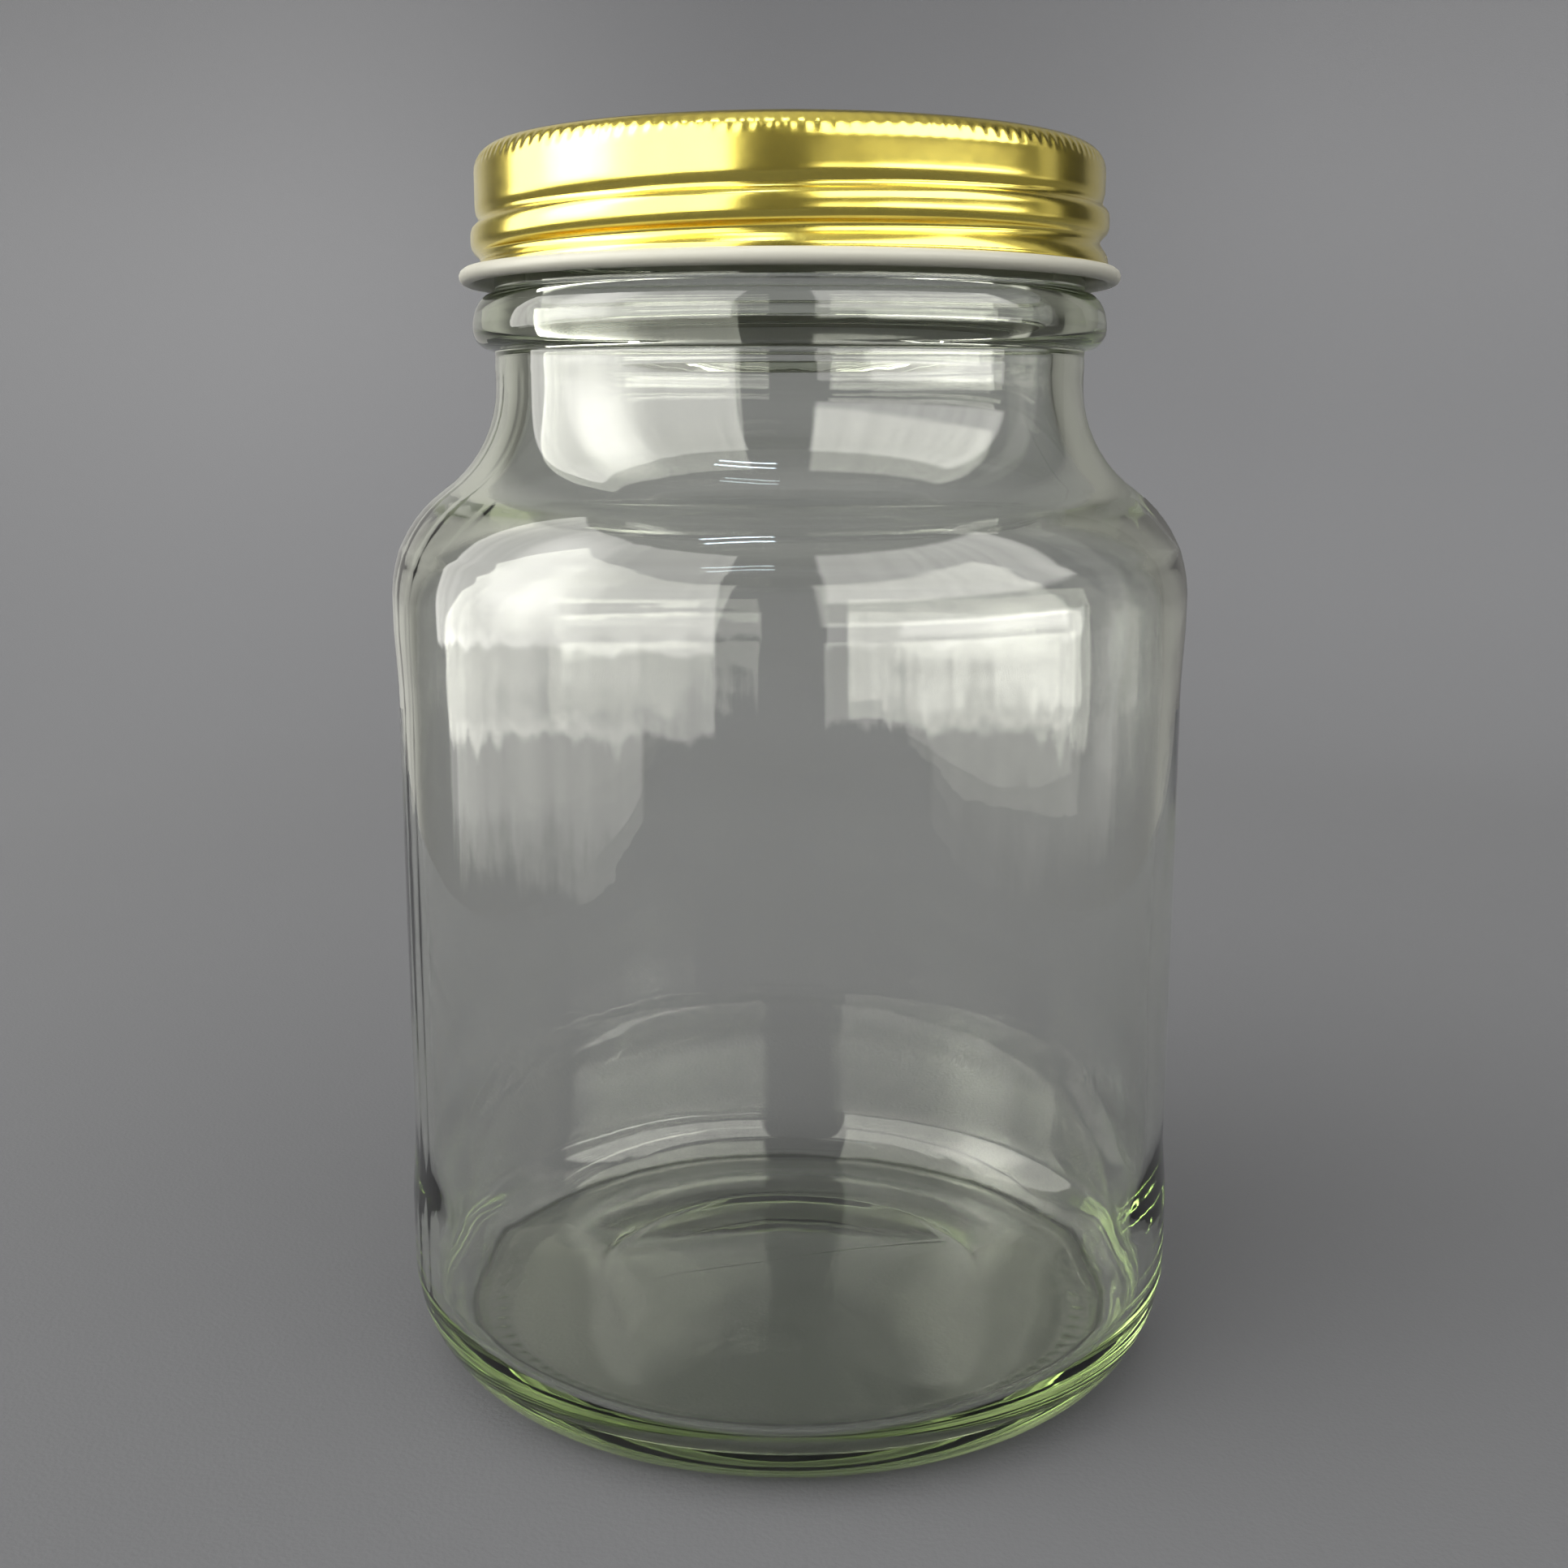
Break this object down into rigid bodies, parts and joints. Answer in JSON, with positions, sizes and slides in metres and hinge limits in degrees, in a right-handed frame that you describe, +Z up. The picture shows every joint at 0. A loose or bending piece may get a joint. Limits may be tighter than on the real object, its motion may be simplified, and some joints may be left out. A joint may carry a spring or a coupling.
{
  "type": "mason jar",
  "caption": "Clear glass storage jar with a rounded shoulder, a threaded neck with a bead below it, and a gold one-piece metal screw lid.",
  "frame": {"origin": "centre of the jar's base, on the plane that the foot ring stands on", "axes": "+Z up along the jar's axis, towards the lid"},
  "size_m": [0.106, 0.106, 0.1621],
  "materials": {
    "clear_glass": "clear, slightly green in the thick parts",
    "gold_lacquer": "satin gold lacquer on tinplate",
    "liner_foam": "matt foam"
  },
  "bodies": {
    "jar_body": {"jar": "clear_glass"},
    "liner": {"lid_liner": "liner_foam"},
    "lid": {"lid_shell": "gold_lacquer"}
  },
  "joints": [
    {"name": "lid_rise", "type": "slide", "parent": "jar_body", "child": "liner", "axis": [0, 0, 1], "range_m": [0, 0.01881]},
    {"name": "lid_turn", "type": "hinge", "parent": "liner", "child": "lid", "pos_m": [0, 0, 0.1525], "axis": [0, 0, 1], "range_deg": [0, 1440]}
  ],
  "couplings": [
    {"joint": "lid_rise", "follows": "lid_turn", "m_per_rad": 0.00074803}
  ]
}
